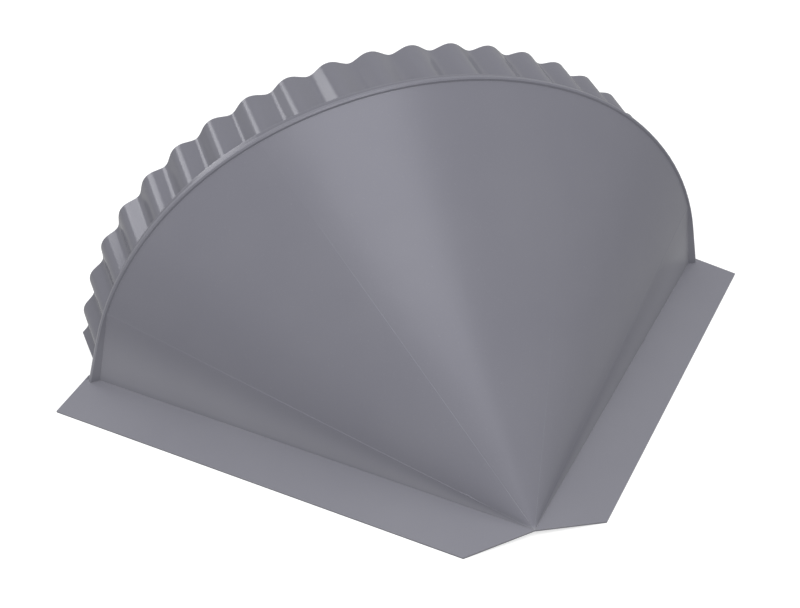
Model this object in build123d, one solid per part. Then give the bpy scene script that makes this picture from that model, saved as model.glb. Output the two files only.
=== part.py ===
from build123d import *
import math
import os

# Sheet metal end cap for a half-round roof ridge: a half-cone nose, a bead round its mouth,
# a crimped skirt that slips under the ridge, and a flange along each side to lie on the roof.
# All in millimetres. It is drawn with its mouth upright in the plane y = 0, the ridge running off
# along +Y and the feet of the mouth at z = 0, and is then laid on the outer edges of its flanges.

# Sheet
sheet = 0.6

# Mouth: an arch that is flatter over its crown than at its shoulders
arch_height = 88.9
crown_radius = 115.0
crown_angle = 25.0
shoulder_radius = 95.8

# Nose: its sides end in flat legs, and its point lies in front of the mouth and above its feet
mouth_width = 205.7
leg_height = 26.0
nose_length = 101.0
nose_rise = 9.4

# Rim: a bead round the mouth, which keeps to the arch lower down than the nose does
rim_leg_height = 16.0
bead_height = 1.1
bead_width = 1.7
bead_bevel = 0.4

# Skirt behind the bead: a plain band, then crimps pressed inwards; its sides spread towards the free edge
skirt_length = 22.8
skirt_spread = 1.7
band_step = 0.65
band_width = 3.5
crimp_step = 0.85
crimp_pitch = 13.2
crimp_phase = 4.3
crimp_depth = 2.3
crest_share = 0.55

# Flanges
flange_width = 16.0
flange_mitre = 14.0
flange_tail = 4.7

# Points that draw each crimp
points_per_crimp = 6

# How far the modelling solids run past the metal
past = 4.0


def towards(turn):
    """The direction in the mouth's plane at an angle from the upright."""
    return Vector(math.sin(turn), math.cos(turn))


# Worked out from the arch
crown_turn = math.radians(crown_angle)
crown_centre = Vector(0, arch_height - crown_radius)
crown_end = crown_centre + towards(crown_turn) * crown_radius
shoulder_centre = crown_end - towards(crown_turn) * shoulder_radius

# Worked out from the nose
foot = Vector(mouth_width / 2, 0)
kink_turn = math.acos((leg_height - shoulder_centre.Y) / shoulder_radius)
kink = shoulder_centre + towards(kink_turn) * shoulder_radius
tip = Vector(0, -nose_length, nose_rise)
fold_tilt = math.degrees(math.atan2(nose_rise, nose_length))

# Worked out from the rim, whose legs run straight on from the arch
leg_turn = math.acos((rim_leg_height - shoulder_centre.Y) / shoulder_radius)
leg_start = shoulder_centre + towards(leg_turn) * shoulder_radius
leg_way = towards(leg_turn + math.pi / 2)
leg_length = (rim_leg_height + past) / -leg_way.Y
crown_run = crown_radius * crown_turn
arch_run = crown_run + shoulder_radius * (leg_turn - crown_turn)
rim_run = arch_run + leg_length

# Worked out from the skirt
band_middle = bead_width + band_width / 2
band_end = bead_width + band_width
skirt_end = bead_width + skirt_length


def upright(y):
    """The upright plane across the ridge at y, drawn with x across and its own y upwards."""
    return Plane(origin=(0, y, 0), x_dir=(1, 0, 0), z_dir=(0, -1, 0))


def mouth_face():
    """The nose's mouth filled in, with legs that run on down past the roof."""
    middle = shoulder_centre + towards((crown_turn + kink_turn) / 2) * shoulder_radius
    low = foot + (foot - kink) * (past / leg_height)
    outline = [
        Line((-low.X, low.Y), (-kink.X, kink.Y)),
        ThreePointArc((-kink.X, kink.Y), (-middle.X, middle.Y), (-crown_end.X, crown_end.Y)),
        ThreePointArc((-crown_end.X, crown_end.Y), (0, arch_height), crown_end),
        ThreePointArc(crown_end, middle, kink),
        Line(kink, low),
        Line(low, (-low.X, low.Y)),
    ]
    return upright(0) * make_face(outline)


def nose_cone():
    """The solid half cone from the mouth to the tip."""
    return loft([mouth_face(), Vertex(tip)], ruled=True)


def nose_hollow():
    """The same cone set back along the folds, which leaves a wall as thick as the sheet."""
    crown_slope = math.atan2(arch_height - nose_rise, nose_length)
    tilt = math.radians(fold_tilt)
    set_back = sheet / math.sin(crown_slope + tilt)
    return Pos(0, set_back * math.cos(tilt), -set_back * math.sin(tilt)) * nose_cone()


def rim_point(run, offset):
    """The point of the rim's outline that lies a run from its crown, moved out by an offset."""
    side = math.copysign(1, run)
    run = abs(run)
    if run < crown_run:
        turn = run / crown_radius
        point = crown_centre + towards(turn) * crown_radius
    else:
        turn = min(crown_turn + (run - crown_run) / shoulder_radius, leg_turn)
        point = shoulder_centre + towards(turn) * shoulder_radius + leg_way * max(run - arch_run, 0)
    point = point + towards(turn) * offset
    return (side * point.X, point.Y)


def crimped_face(y, inset):
    """The skirt's outline at y, moved in by an inset, with crimps that leave more crest than valley."""
    back = (y - band_middle) / (skirt_end - band_middle)
    lean = math.pi * (crest_share - 0.5)
    count = points_per_crimp * round(2 * rim_run / crimp_pitch)
    shares = [i / count for i in range(count + 1)]
    points = []
    for share in shares:
        run = rim_run * (2 * share - 1)
        angle = 2 * math.pi * (run - crimp_phase) / crimp_pitch
        wave = math.cos(angle - lean * math.sin(angle))
        down = min(max((abs(run) - crown_run) / (arch_run - crown_run), 0), 1)
        spread = skirt_spread * back * down**2 * (3 - 2 * down)
        drop = crimp_step + crimp_depth / 2 * (1 - wave)
        points.append(rim_point(run, spread - drop - inset))
    edge = Edge.make_spline(points, parameters=shares)
    return upright(y) * make_face([edge, Line(points[-1], points[0])])


def rim_profile(inset):
    """The rim's section, with its own x along the ridge and its own y outwards: the bead, and the plain
    band whose back closes the ends of the crimps. An inset gives the section of its hollow."""
    front = inset
    back = bead_width - inset
    top = bead_height - inset
    band = -band_step - inset
    end = band_end - inset
    base = -crimp_step - crimp_depth - past - inset
    outline = Polyline(
        (front, base), (front, top), (back, top), (back, band), (end, band), (end, base), close=True
    )
    section = make_face(outline)
    if inset == 0:
        section = chamfer(section.vertices().group_by(Axis.Y)[-1], bead_bevel)
    return section


def outward(point, turn):
    """The plane of a section across the rim at a point, turned from the upright by an angle."""
    out = Vector(math.sin(turn), 0, math.cos(turn))
    return Plane(origin=(point.X, 0, point.Y), x_dir=(0, 1, 0), z_dir=Vector(0, 1, 0).cross(out))


def rim_ring(inset):
    """The rim round the arch and down both legs; an inset gives its hollow."""
    section = rim_profile(inset)
    crown_axis = Axis((0, 0, crown_centre.Y), (0, 1, 0))
    shoulder_axis = Axis((shoulder_centre.X, 0, shoulder_centre.Y), (0, 1, 0))
    shoulder_angle = math.degrees(leg_turn - crown_turn)
    crown = revolve(outward(crown_end, crown_turn) * section, crown_axis, -2 * crown_angle)
    shoulder = revolve(outward(crown_end, crown_turn) * section, shoulder_axis, shoulder_angle)
    leg = extrude(outward(leg_start, leg_turn) * section, leg_length, dir=(leg_way.X, 0, leg_way.Y))
    half = shoulder + leg
    return crown + half + mirror(half, Plane.YZ)


def skirt_solid(inset):
    """The filled crimps, which start inside the plain band; an inset gives their hollow, which runs on
    past the free edge."""
    end = skirt_end + (past if inset else 0)
    return loft([crimped_face(band_middle, inset), crimped_face(end, inset)], ruled=True)


def below_roof():
    """All that lies under the two roof planes, which meet in a line through the tip along the ridge
    and pass through the feet of the mouth; the metal above is rooted in the flanges by half a sheet."""
    slope = nose_rise / foot.X
    reach = foot.X + flange_width
    drop = sheet / 2
    eaves = nose_rise - slope * reach - drop
    deep = eaves - 2 * past
    outline = Polyline(
        (0, nose_rise - drop), (reach, eaves), (reach, deep), (-reach, deep), (-reach, eaves), close=True
    )
    length = nose_length + skirt_end + 2 * past
    return extrude(upright(-nose_length - past) * make_face(outline), length, dir=(0, 1, 0))


def flange(side):
    """The flat strip along one fold, in the roof plane that holds the fold and the ridge's own line."""
    heel = Vector(side * foot.X, 0, 0)
    fold = (heel - tip).normalized()
    normal = fold.cross(Vector(0, 1, 0)).normalized() * side
    out = fold.cross(normal) * side
    near = tip + fold * flange_mitre + out * flange_width
    far = heel + fold * flange_tail + out * flange_width
    inner_far = heel + fold * flange_tail - out * sheet
    inner_near = tip - out * sheet + fold * sheet
    strip = make_face(Polyline(tip, near, far, inner_far, inner_near, close=True))
    return extrude(strip, sheet, dir=-normal)


def end_cap():
    """The whole cap as one sheet, laid on its flanges with the origin under the middle of its box."""
    outside = nose_cone() + rim_ring(0) + skirt_solid(0)
    inside = nose_hollow() + rim_ring(sheet) + skirt_solid(sheet)
    cap = outside - inside - below_roof() + flange(-1) + flange(1)
    cap = Rot(fold_tilt, 0, 0) * cap
    box = cap.bounding_box()
    return Pos(-box.center().X, -box.center().Y, -box.min.Z) * cap


os.makedirs("parts", exist_ok=True)
export_step(end_cap(), "parts/end_cap.step")
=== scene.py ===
"""Gives the ridge end cap its coated finish and lays it on a pale studio floor."""

import math

import bpy
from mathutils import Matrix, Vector


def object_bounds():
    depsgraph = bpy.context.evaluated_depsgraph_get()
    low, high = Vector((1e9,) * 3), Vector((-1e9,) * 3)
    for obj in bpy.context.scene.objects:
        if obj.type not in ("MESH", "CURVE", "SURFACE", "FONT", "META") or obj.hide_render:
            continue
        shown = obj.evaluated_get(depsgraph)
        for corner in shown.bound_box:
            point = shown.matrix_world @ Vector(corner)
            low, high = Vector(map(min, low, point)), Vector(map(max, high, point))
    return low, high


bl_info = {
    "name": "Ridge End Cap",
    "version": (1, 0, 0),
    "blender": (4, 5, 0),
    "location": "View3D > Sidebar > Ridge Cap",
    "description": "Coats a sheet metal ridge end cap and sets up its studio",
    "category": "Object",
}

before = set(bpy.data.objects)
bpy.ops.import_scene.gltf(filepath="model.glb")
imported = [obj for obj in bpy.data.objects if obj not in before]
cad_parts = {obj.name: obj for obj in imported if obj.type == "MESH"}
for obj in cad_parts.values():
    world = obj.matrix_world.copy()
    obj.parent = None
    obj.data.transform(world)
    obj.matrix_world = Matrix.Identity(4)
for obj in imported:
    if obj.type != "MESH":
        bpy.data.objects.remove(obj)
CAD_LOW, CAD_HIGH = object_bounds()
CAP_NODE = "end_cap"

# The upper face of the right flange, as its normal and its distance from the origin; the left one mirrors it
ROOF_NORMAL = Vector((0.0910, -0.0923, 0.9916))
ROOF_OFFSET = 0.0084

# The plane just behind the bead, where the sheet that slips under the ridge begins
SKIRT_NORMAL = Vector((0.0, 0.9957, 0.0927))
SKIRT_OFFSET = 0.0410

# About how steeply the bend between the cone and a flat leg of the nose rises from the flange, back from the
# front of the cap, and the range of rise over which the turned normal of the leg fades out there
BEND_RISE = 0.257
BEND_EDGE = 0.002

# Nearer to the front than this, the rise is measured as if from this distance
FRONT_REACH = 0.004


def color_setting(name, description, default):
    """A colour in an add-on panel."""
    return bpy.props.FloatVectorProperty(
        name=name, description=description, subtype="COLOR", size=3, min=0.0, max=1.0, default=default
    )


def length_setting(name, description, default):
    """A length in metres in an add-on panel."""
    return bpy.props.FloatProperty(
        name=name, description=description, subtype="DISTANCE", unit="LENGTH", min=0.0, default=default
    )


def angle_setting(name, description, default):
    """An angle in an add-on panel, given in degrees."""
    return bpy.props.FloatProperty(
        name=name, description=description, subtype="ANGLE", unit="ROTATION", default=math.radians(default)
    )


def share_setting(name, description, default):
    """A share from nought to one in an add-on panel."""
    return bpy.props.FloatProperty(
        name=name, description=description, subtype="FACTOR", min=0.0, max=1.0, default=default
    )


def power_setting(name, description, default):
    """A lamp's power in watts in an add-on panel."""
    return bpy.props.FloatProperty(
        name=name, description=description, subtype="POWER", unit="POWER", min=0.0, default=default
    )


class CapCoating(bpy.types.PropertyGroup):
    """The coil coating on the sheet."""

    paint_color: color_setting("Paint", "Colour of the coating where it is clean", (0.174, 0.174, 0.203))
    faded_color: color_setting("Faded Paint", "Colour of the weathered patches", (0.183, 0.183, 0.211))
    # Painted shade: the skirt is coloured darker than the clean paint
    skirt_shade_color: color_setting("Sheltered Paint", "Colour of the skirt", (0.159, 0.159, 0.185))
    # Painted light: a colour lighter than the paint, laid in a band up the sides above the folds
    fold_light_color: color_setting("Dust", "Colour of the thin dust against the folds", (0.243, 0.243, 0.272))
    # Painted shade: a near-black laid deep in the crimps of the skirt
    crease_shade_color: color_setting("Grime", "Colour that gathers in the crimps", (0.050, 0.050, 0.057))
    bare_color: color_setting("Bare Edge", "Colour of the zinc where an edge is rubbed", (0.36, 0.365, 0.385))
    roughness: share_setting("Roughness", "Roughness of the coating that sees the weather", 0.29)
    sheltered_roughness: share_setting("Sheltered Roughness", "Roughness of the coating on the skirt", 0.17)
    crease_roughness: share_setting("Grime Roughness", "Roughness that the grime adds", 0.25)
    gloss: share_setting("Gloss", "Strength of the reflections in the coating", 0.25)
    gloss_tint: color_setting("Gloss Tint", "Colour of the reflections in the coating", (0.90, 0.90, 1.0))
    edge_metal: share_setting("Edge Metal", "How metallic a rubbed edge is", 0.4)
    patch_size: length_setting("Patch Size", "Width of the faded patches", 0.055)
    smear_size: length_setting("Smear Size", "Width of the smears that dull the coating", 0.03)
    speck_size: length_setting("Speck Size", "Width of the fine specks in the coating", 0.0006)
    peel_size: length_setting("Peel Size", "Width of the fine ripples in the coating", 0.0009)
    peel_depth: length_setting("Peel Depth", "Height of the fine ripples in the coating", 0.000008)
    edge_width: length_setting("Edge Wear", "How far from a sharp edge the coating is rubbed thin", 0.0003)
    bend_turn: share_setting("Bend Turn", "How far the legs turn up to meet the cone in a soft bend", 0.115)
    crease_reach: length_setting("Crease Reach", "How far grime spreads in the crimps", 0.005)


class CapStage(bpy.types.PropertyGroup):
    """The studio round the cap."""

    floor_color: color_setting("Floor", "Colour of the floor", (0.50, 0.50, 0.50))
    floor_paleness: share_setting("Floor Paleness", "How far the floor is lifted towards white", 0.66)
    floor_width: length_setting("Floor Width", "Width of the square floor", 6.0)
    room_light: share_setting("Room Light", "Level of the even light from all round", 0.59)
    key_power: power_setting("Key Power", "Power of the wide lamp above the nose", 4.0)
    top_power: power_setting("Top Power", "Power of the lamp overhead", 2.4)
    side_power: power_setting("Side Power", "Power of the low lamp on the left", 0.8)
    back_power: power_setting("Back Power", "Power of the small lamp behind the cap", 0.15)
    crest_power: power_setting("Crest Power", "Power of the low lamp that catches the crimps", 1.0)
    view_azimuth: angle_setting("View Azimuth", "Turn of the camera from in front of the nose", -18.43)
    view_elevation: angle_setting("View Elevation", "Angle of the camera above the floor", 35.74)
    view_distance: length_setting("View Distance", "Distance of the camera from what it looks at", 0.4154)
    view_target: bpy.props.FloatVectorProperty(
        name="View Target",
        description="The point that the camera looks at",
        subtype="TRANSLATION",
        unit="LENGTH",
        size=3,
        default=(-0.00316, 0.04323, 0.00655),
    )
    lens: bpy.props.FloatProperty(
        name="Lens",
        description="Focal length of the camera",
        subtype="DISTANCE_CAMERA",
        unit="CAMERA",
        min=1.0,
        default=56.28,
    )


def direction(azimuth, elevation):
    """The direction from the cap towards a place seen at these angles, in radians."""
    flat = math.cos(elevation)
    return Vector((math.sin(azimuth) * flat, -math.cos(azimuth) * flat, math.sin(elevation)))


def new_material(name):
    """An empty node material with its output node."""
    material = bpy.data.materials.new(name)
    material.use_nodes = True
    material.node_tree.nodes.clear()
    output = material.node_tree.nodes.new("ShaderNodeOutputMaterial")
    return material, material.node_tree, output


def noise(tree, coordinates, width, detail, roughness):
    """A noise pattern whose lumps have about the given width in metres."""
    node = tree.nodes.new("ShaderNodeTexNoise")
    node.inputs["Scale"].default_value = 1.0 / width
    node.inputs["Detail"].default_value = detail
    node.inputs["Roughness"].default_value = roughness
    tree.links.new(coordinates, node.inputs["Vector"])
    return node.outputs["Fac"]


def remap(tree, value, low, high, to_low, to_high):
    """A value carried from one range to another, held at the ends and eased between them."""
    node = tree.nodes.new("ShaderNodeMapRange")
    node.interpolation_type = "SMOOTHSTEP"
    node.inputs["From Min"].default_value = low
    node.inputs["From Max"].default_value = high
    node.inputs["To Min"].default_value = to_low
    node.inputs["To Max"].default_value = to_high
    tree.links.new(value, node.inputs["Value"])
    return node.outputs["Result"]


def calculate(tree, operation, first, second=0.0):
    """One sum on two values, either of which may be a number."""
    node = tree.nodes.new("ShaderNodeMath")
    node.operation = operation
    for socket, value in zip(node.inputs, (first, second)):
        if isinstance(value, (int, float)):
            socket.default_value = value
        else:
            tree.links.new(value, socket)
    return node.outputs["Value"]


def blend_colors(tree, factor, first, second):
    """Two colours mixed by a factor; each is a socket or a plain colour."""
    node = tree.nodes.new("ShaderNodeMix")
    node.data_type = "RGBA"
    tree.links.new(factor, node.inputs["Factor"])
    for socket, value in ((node.inputs[6], first), (node.inputs[7], second)):
        if hasattr(value, "is_output"):
            tree.links.new(value, socket)
        else:
            socket.default_value = (*value, 1.0)
    return node.outputs[2]


def edge_mask(tree, width):
    """One along sharp edges of the sheet and nought on its faces."""
    rounded = tree.nodes.new("ShaderNodeBevel")
    rounded.samples = 6
    rounded.inputs["Radius"].default_value = width
    geometry = tree.nodes.new("ShaderNodeNewGeometry")
    facing = tree.nodes.new("ShaderNodeVectorMath")
    facing.operation = "DOT_PRODUCT"
    tree.links.new(rounded.outputs["Normal"], facing.inputs[0])
    tree.links.new(geometry.outputs["Normal"], facing.inputs[1])
    return remap(tree, facing.outputs["Value"], 0.99, 0.80, 0.0, 1.0)


def crease_mask(tree, reach):
    """High deep in the creases of the sheet and nought on its open faces; it places the painted shade in the
    crimps.
    """
    hollow = tree.nodes.new("ShaderNodeAmbientOcclusion")
    hollow.samples = 8
    hollow.only_local = True
    hollow.inputs["Distance"].default_value = reach
    return remap(tree, hollow.outputs["AO"], 0.85, 0.35, 0.0, 0.8)


def height_over(tree, place, normal, offset):
    """How far a place lies in front of a plane that is the same on the left and the right."""
    parts = tree.nodes.new("ShaderNodeSeparateXYZ")
    tree.links.new(place, parts.inputs["Vector"])
    across = calculate(tree, "MULTIPLY", calculate(tree, "ABSOLUTE", parts.outputs["X"]), normal.x)
    along = calculate(tree, "MULTIPLY", parts.outputs["Y"], normal.y)
    up = calculate(tree, "MULTIPLY", parts.outputs["Z"], normal.z)
    total = calculate(tree, "ADD", calculate(tree, "ADD", across, along), up)
    return calculate(tree, "SUBTRACT", total, offset)


def fold_rise(tree, place):
    """How steeply a place rises from the flange, back from the front; nearly even along the cone's lines."""
    height = height_over(tree, place, ROOF_NORMAL, ROOF_OFFSET)
    back = height_over(tree, place, Vector((0.0, 1.0, 0.0)), CAD_LOW.y)
    return calculate(tree, "DIVIDE", height, calculate(tree, "MAXIMUM", back, FRONT_REACH))


def fold_mask(tree, rise):
    """One where the sides rise from the folds, in a band that widens from the tip; half on the flanges."""
    band = remap(tree, rise, 0.05, 0.25, 1.0, 0.0)
    return calculate(tree, "MULTIPLY", band, remap(tree, rise, 0.0, 0.03, 0.5, 1.0))


def soft_bend(tree, rise, turn):
    """The sheet's normal, turned up over the flat legs so that the light runs softly off the cone."""
    normal = tree.nodes.new("ShaderNodeNewGeometry").outputs["Normal"]
    parts = tree.nodes.new("ShaderNodeSeparateXYZ")
    tree.links.new(normal, parts.inputs["Vector"])
    across = calculate(tree, "ABSOLUTE", parts.outputs["X"])
    slanting = calculate(tree, "MULTIPLY", across, parts.outputs["Y"])
    on_leg = remap(tree, slanting, -0.40, -0.20, 1.0, 0.0)
    below = remap(tree, rise, BEND_RISE - BEND_EDGE, BEND_RISE, turn, 0.0)
    lift = tree.nodes.new("ShaderNodeCombineXYZ")
    tree.links.new(calculate(tree, "MULTIPLY", on_leg, below), lift.inputs["Z"])
    turned = tree.nodes.new("ShaderNodeVectorMath")
    turned.operation = "ADD"
    tree.links.new(normal, turned.inputs[0])
    tree.links.new(lift.outputs["Vector"], turned.inputs[1])
    even = tree.nodes.new("ShaderNodeVectorMath")
    even.operation = "NORMALIZE"
    tree.links.new(turned.outputs["Vector"], even.inputs[0])
    return even.outputs["Vector"]


def coated_steel(settings):
    """Satin coil coating: faintly faded in patches, finely rippled, with painted light above the folds,
    painted shade over the skirt and darker painted shade deep in its crimps, and rubbed thin along sharp
    edges."""
    material, tree, output = new_material("coated_steel")
    place = tree.nodes.new("ShaderNodeTexCoord").outputs["Object"]

    patches = noise(tree, place, settings.patch_size, 3.0, 0.55)
    specks = noise(tree, place, settings.speck_size, 2.0, 0.6)
    smears = noise(tree, place, settings.smear_size, 3.0, 0.55)
    ripples = noise(tree, place, settings.peel_size, 2.0, 0.5)
    rubbed = remap(tree, smears, 0.38, 0.62, 0.3, 0.8)
    edges = calculate(tree, "MULTIPLY", edge_mask(tree, settings.edge_width), rubbed)
    rise = fold_rise(tree, place)
    # Painted light: a lighter band up the sides from the folds, half as strong on the flanges, varied a
    # little by the patches
    fold_light = calculate(tree, "MULTIPLY", fold_mask(tree, rise), remap(tree, patches, 0.30, 0.70, 0.85, 1.0))
    # One on the skirt behind the bead, where painted shade darkens the paint and the coating is smoother
    on_skirt = remap(tree, height_over(tree, place, SKIRT_NORMAL, SKIRT_OFFSET), 0.0, 0.0003, 0.0, 1.0)
    # Painted shade: darkening where the crimps close in, on the skirt only
    crease_shade = calculate(tree, "MULTIPLY", crease_mask(tree, settings.crease_reach), on_skirt)

    faded = remap(tree, patches, 0.35, 0.65, 0.0, 1.0)
    paint = blend_colors(tree, faded, settings.paint_color, settings.faded_color)
    speckled = blend_colors(tree, remap(tree, specks, 0.60, 0.78, 0.0, 0.08), paint, settings.bare_color)
    fold_lit = blend_colors(tree, fold_light, speckled, settings.fold_light_color)
    # Painted shade: the whole skirt takes the darker colour
    shaded = blend_colors(tree, on_skirt, fold_lit, settings.skirt_shade_color)
    crease_shaded = blend_colors(tree, crease_shade, shaded, settings.crease_shade_color)
    worn = blend_colors(tree, edges, crease_shaded, settings.bare_color)

    dulled = remap(tree, smears, 0.35, 0.70, settings.roughness - 0.008, settings.roughness + 0.012)
    smoother = calculate(tree, "MULTIPLY", on_skirt, settings.roughness - settings.sheltered_roughness)
    rougher = calculate(tree, "MULTIPLY", crease_shade, settings.crease_roughness)
    roughness = calculate(tree, "ADD", calculate(tree, "SUBTRACT", dulled, smoother), rougher)
    metal = calculate(tree, "MULTIPLY", edges, settings.edge_metal)

    bump = tree.nodes.new("ShaderNodeBump")
    bump.inputs["Strength"].default_value = 1.0
    bump.inputs["Distance"].default_value = settings.peel_depth
    tree.links.new(ripples, bump.inputs["Height"])
    tree.links.new(soft_bend(tree, rise, settings.bend_turn), bump.inputs["Normal"])

    shader = tree.nodes.new("ShaderNodeBsdfPrincipled")
    shader.inputs["Specular IOR Level"].default_value = settings.gloss
    shader.inputs["Specular Tint"].default_value = (*settings.gloss_tint, 1.0)
    tree.links.new(worn, shader.inputs["Base Color"])
    tree.links.new(roughness, shader.inputs["Roughness"])
    tree.links.new(metal, shader.inputs["Metallic"])
    tree.links.new(bump.outputs["Normal"], shader.inputs["Normal"])
    tree.links.new(shader.outputs["BSDF"], output.inputs["Surface"])
    return material


def seen_ray(tree):
    """One for what the camera sees straight on, and nought for light and reflections."""
    return tree.nodes.new("ShaderNodeLightPath").outputs["Is Camera Ray"]


def pale_floor(settings):
    """Matt pale floor that takes a shadow and reads as white to the eye."""
    material, tree, output = new_material("pale_floor")
    matt = tree.nodes.new("ShaderNodeBsdfDiffuse")
    matt.inputs["Color"].default_value = (*settings.floor_color, 1.0)
    glow = tree.nodes.new("ShaderNodeEmission")
    lift = calculate(tree, "MULTIPLY", seen_ray(tree), settings.floor_paleness)
    tree.links.new(lift, glow.inputs["Strength"])
    both = tree.nodes.new("ShaderNodeAddShader")
    tree.links.new(matt.outputs["BSDF"], both.inputs[0])
    tree.links.new(glow.outputs["Emission"], both.inputs[1])
    tree.links.new(both.outputs["Shader"], output.inputs["Surface"])
    return material


def link_new(name, data):
    """A new object in the scene."""
    made = bpy.data.objects.new(name, data)
    bpy.context.scene.collection.objects.link(made)
    return made


def aim(holder, target, towards, distance):
    """Stands a lamp or camera off from a target and turns it to face it."""
    holder.location = target + towards * distance
    holder.rotation_mode = "QUATERNION"
    holder.rotation_quaternion = (-towards).to_track_quat("-Z", "Y")


def soft_lamp(name, azimuth, elevation, distance, width, power):
    """A square soft lamp that faces the cap, placed by angles in degrees."""
    lamp = bpy.data.lights.new(name, "AREA")
    lamp.shape = "SQUARE"
    lamp.size = width
    lamp.energy = power
    holder = link_new(name, lamp)
    aim(holder, (CAD_LOW + CAD_HIGH) / 2, direction(math.radians(azimuth), math.radians(elevation)), distance)
    return holder


def lay_floor(settings):
    """A wide floor under the cap."""
    half = settings.floor_width / 2
    sheet = bpy.data.meshes.new("floor")
    corners = [(-half, -half, 0.0), (half, -half, 0.0), (half, half, 0.0), (-half, half, 0.0)]
    sheet.from_pydata(corners, [], [(0, 1, 2, 3)])
    floor = link_new("floor", sheet)
    floor.data.materials.append(pale_floor(settings))


def light_room(scene, settings):
    """Even light from all round, which the camera sees as white."""
    world = bpy.data.worlds.new("studio_room")
    world.use_nodes = True
    tree = world.node_tree
    room = tree.nodes["Background"]
    room.inputs["Color"].default_value = (1.0, 1.0, 1.0, 1.0)
    level = remap(tree, seen_ray(tree), 0.0, 1.0, settings.room_light, 1.0)
    tree.links.new(level, room.inputs["Strength"])
    scene.world = world


def hang_lamps(settings):
    """The soft lamps, each by its azimuth, elevation, distance, width and power."""
    soft_lamp("key_lamp", -10.0, 63.0, 0.92, 0.53, settings.key_power)
    top = soft_lamp("top_lamp", 0.0, 86.0, 1.0, 0.90, settings.top_power)
    top.visible_glossy = False
    soft_lamp("side_lamp", -75.0, 22.0, 1.0, 0.60, settings.side_power)
    soft_lamp("back_lamp", 168.0, 59.0, 1.0, 0.20, settings.back_power)
    soft_lamp("crest_lamp", -144.0, 27.0, 1.0, 0.28, settings.crest_power)


def place_camera(scene, settings):
    """The camera that sees the cap as the photograph does."""
    camera = bpy.data.cameras.new("camera")
    camera.sensor_width = 36.0
    camera.lens = settings.lens
    camera.clip_start = 0.01
    camera.clip_end = 50.0
    holder = link_new("camera", camera)
    towards = direction(settings.view_azimuth, settings.view_elevation)
    aim(holder, Vector(settings.view_target), towards, settings.view_distance)
    scene.camera = holder
    scene.view_settings.view_transform = "Standard"


class RIDGECAP_OT_coat_cap(bpy.types.Operator):
    """Coat the end cap's sheet"""

    bl_idname = "ridgecap.coat_cap"
    bl_label = "Coat End Cap"

    def execute(self, context):
        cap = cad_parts.get(CAP_NODE)
        if cap is None:
            raise RuntimeError("the packed model has no end cap")
        cap.data.materials.clear()
        cap.data.materials.append(coated_steel(context.scene.cap_coating))
        return {"FINISHED"}


class RIDGECAP_OT_set_stage(bpy.types.Operator):
    """Lay the floor, hang the lamps and place the camera"""

    bl_idname = "ridgecap.set_stage"
    bl_label = "Set Stage"

    def execute(self, context):
        settings = context.scene.cap_stage
        lay_floor(settings)
        light_room(context.scene, settings)
        hang_lamps(settings)
        place_camera(context.scene, settings)
        return {"FINISHED"}


class RIDGECAP_PT_sidebar(bpy.types.Panel):
    """Settings of the cap and its studio"""

    bl_idname = "RIDGECAP_PT_sidebar"
    bl_label = "Ridge End Cap"
    bl_space_type = "VIEW_3D"
    bl_region_type = "UI"
    bl_category = "Ridge Cap"

    def draw(self, context):
        layout = self.layout
        for settings, step in (
            (context.scene.cap_coating, RIDGECAP_OT_coat_cap.bl_idname),
            (context.scene.cap_stage, RIDGECAP_OT_set_stage.bl_idname),
        ):
            box = layout.box()
            for name in settings.__annotations__:
                box.prop(settings, name)
            box.operator(step)


CLASSES = (CapCoating, CapStage, RIDGECAP_OT_coat_cap, RIDGECAP_OT_set_stage, RIDGECAP_PT_sidebar)


def register():
    for made in CLASSES:
        bpy.utils.register_class(made)
    bpy.types.Scene.cap_coating = bpy.props.PointerProperty(type=CapCoating)
    bpy.types.Scene.cap_stage = bpy.props.PointerProperty(type=CapStage)


def unregister():
    del bpy.types.Scene.cap_stage
    del bpy.types.Scene.cap_coating
    for made in reversed(CLASSES):
        bpy.utils.unregister_class(made)


def main():
    register()
    bpy.ops.ridgecap.coat_cap()
    bpy.ops.ridgecap.set_stage()


if __name__ == "__main__":
    main()
